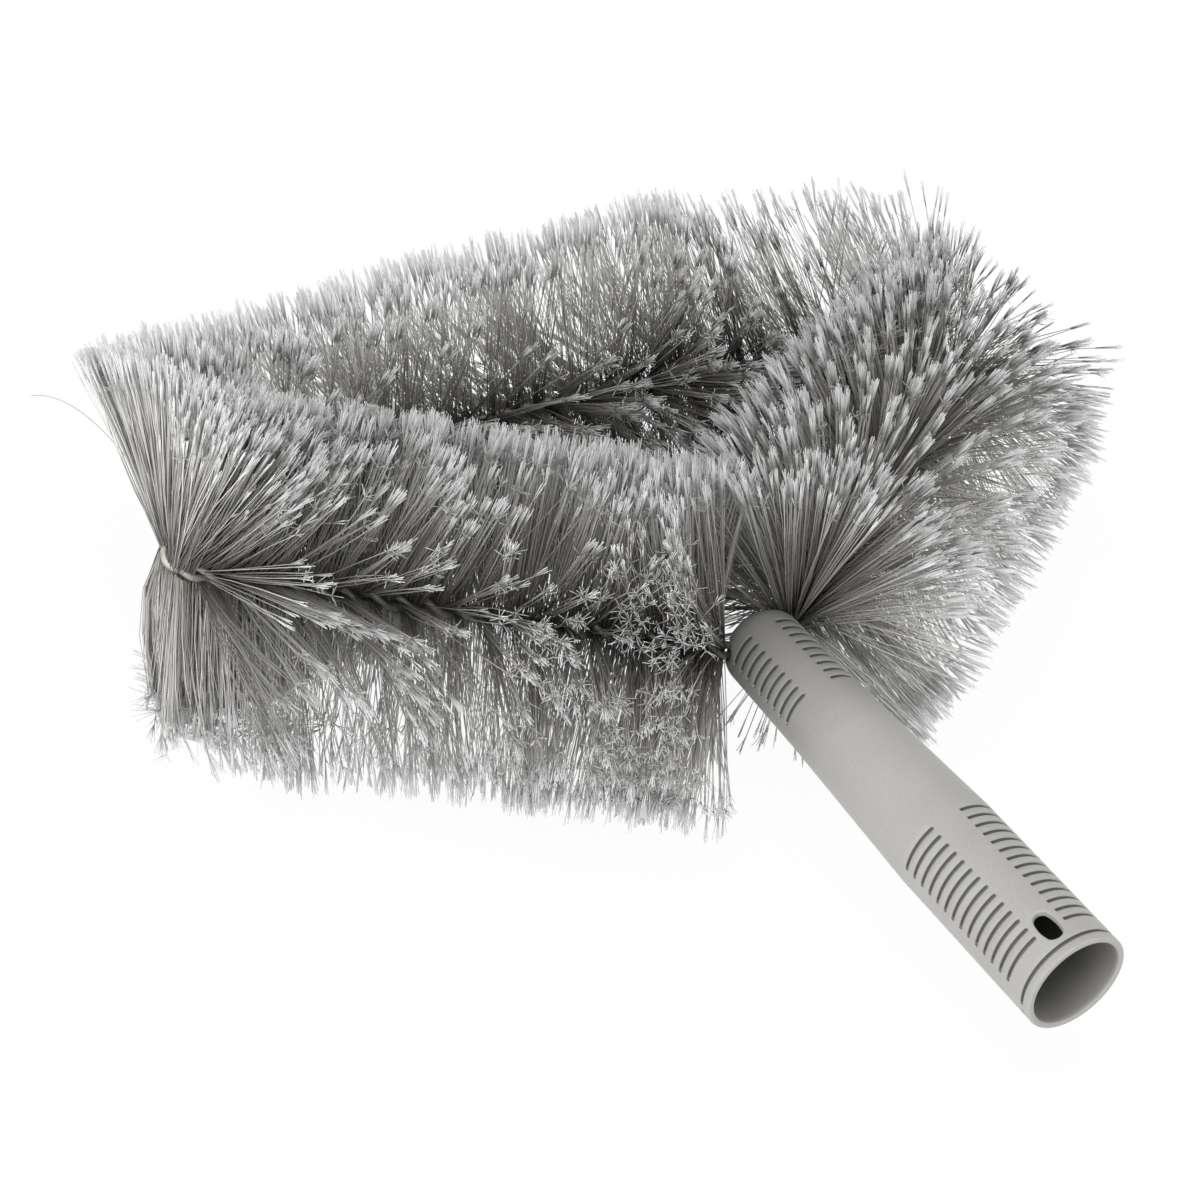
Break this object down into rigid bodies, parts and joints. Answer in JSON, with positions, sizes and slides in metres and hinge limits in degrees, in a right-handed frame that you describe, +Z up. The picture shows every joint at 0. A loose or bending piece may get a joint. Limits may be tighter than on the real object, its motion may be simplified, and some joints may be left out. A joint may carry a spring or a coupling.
{
  "type": "cobweb brush",
  "caption": "Cobweb brush head: a closed loop of twisted wire with soft bristles all round, on a tapered plastic socket that takes a pole with a spring button.",
  "frame": {"origin": "under the middle of the whole part, on the surface that its bristles lie on", "axes": "+Y from the socket's mouth to the far side of the loop, +X to the right along the loop, +Z up across the loop's plane"},
  "size_m": [0.3192, 0.3249, 0.109],
  "materials": {
    "socket_plastic": "satin moulded grey plastic",
    "wire_steel": "galvanised, dull bright",
    "ferrule_steel": "zinc plated",
    "plug_plastic": "moulded dark plastic",
    "filament": "fine translucent grey filaments with split white tips"
  },
  "bodies": {
    "root": {"socket": "socket_plastic", "wire_strand_a": "wire_steel", "wire_strand_b": "wire_steel", "crimp_ferrule": "ferrule_steel", "retaining_plug": "plug_plastic", "bristles_left_arm_1": "filament", "bristles_left_arm_2": "filament", "bristles_left_arm_3": "filament", "bristles_left_arm_4": "filament", "bristles_left_arm_5": "filament", "bristles_left_arm_6": "filament", "bristles_right_arm_1": "filament", "bristles_right_arm_2": "filament", "bristles_right_arm_3": "filament", "bristles_right_arm_4": "filament", "bristles_right_arm_5": "filament", "bristles_right_arm_6": "filament", "bristles_base_1": "filament", "bristles_base_2": "filament", "bristles_base_3": "filament", "bristles_base_4": "filament", "bristles_base_5": "filament", "bristles_base_6": "filament", "bristles_base_7": "filament", "bristles_base_8": "filament", "bristles_base_9": "filament", "bristles_base_10": "filament"}
  },
  "joints": []
}
